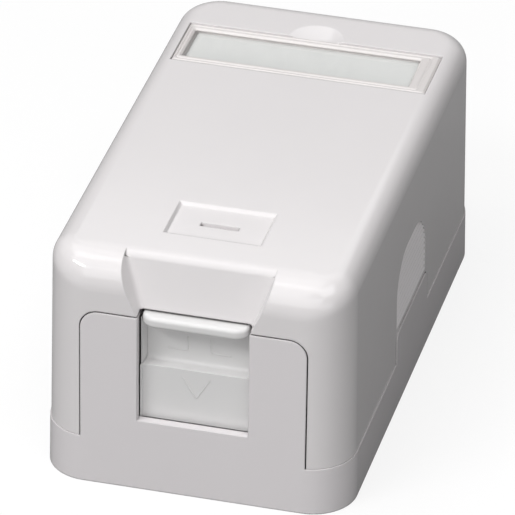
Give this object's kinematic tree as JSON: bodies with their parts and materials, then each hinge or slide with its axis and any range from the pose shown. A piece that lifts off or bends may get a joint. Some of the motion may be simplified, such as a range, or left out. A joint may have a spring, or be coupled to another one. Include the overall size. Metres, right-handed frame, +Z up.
{
  "type": "surface mount jack box",
  "caption": "Surface mount jack box: a rounded cover over a wall base, with a sprung sliding shutter before a modular jack, a clear label window and ribbed side grips.",
  "frame": {"origin": "centre of the underside", "axes": "+X to the right seen from the plug side, +Y from the plug side to the cable side, +Z up from the underside"},
  "size_m": [0.0414, 0.0736, 0.0336],
  "materials": {
    "base_plastic": "smooth moulded white, satin gloss",
    "cover_plastic": "smooth moulded white, gloss",
    "shutter_plastic": "smooth moulded white, gloss",
    "label_clear": "clear, polished",
    "label_paper": "plain paper card",
    "spring_steel": "drawn wire",
    "jack_plastic": "moulded white",
    "cap_plastic": "moulded white, matt",
    "board_laminate": "solder-masked laminate",
    "contact_gold": "gold plated",
    "blade_metal": "tin plated"
  },
  "bodies": {
    "base": {"base": "base_plastic", "spring_left": "spring_steel", "spring_right": "spring_steel", "jack_housing": "jack_plastic", "jack_board": "board_laminate", "idc_block": "jack_plastic", "contact_1": "contact_gold", "contact_2": "contact_gold", "contact_3": "contact_gold", "contact_4": "contact_gold", "contact_5": "contact_gold", "contact_6": "contact_gold", "contact_7": "contact_gold", "contact_8": "contact_gold", "idc_blade_lower_1": "blade_metal", "idc_blade_lower_2": "blade_metal", "idc_blade_lower_3": "blade_metal", "idc_blade_lower_4": "blade_metal", "idc_blade_upper_1": "blade_metal", "idc_blade_upper_2": "blade_metal", "idc_blade_upper_3": "blade_metal", "idc_blade_upper_4": "blade_metal"},
    "cover": {"cover": "cover_plastic", "label_card": "label_paper"},
    "label_window": {"label_window": "label_clear"},
    "shutter": {"shutter": "shutter_plastic"},
    "wire_cap": {"wire_cap": "cap_plastic"}
  },
  "joints": [
    {"name": "shutter_slide", "type": "slide", "parent": "base", "child": "shutter", "axis": [0, 0, -1], "range_m": [0, 0.0084], "stiffness_N_per_m": 20, "springref_m": -0.006, "deforming": ["spring_left", "spring_right"]},
    {"name": "cover_lift", "type": "slide", "parent": "base", "child": "cover", "axis": [0, 0, 1], "range_m": [0, 0.036]},
    {"name": "label_window_lift", "type": "slide", "parent": "cover", "child": "label_window", "axis": [0, 0, 1], "range_m": [0, 0.01]},
    {"name": "wire_cap_slide", "type": "slide", "parent": "base", "child": "wire_cap", "axis": [0, 1, 0], "range_m": [0, 0.008]}
  ]
}
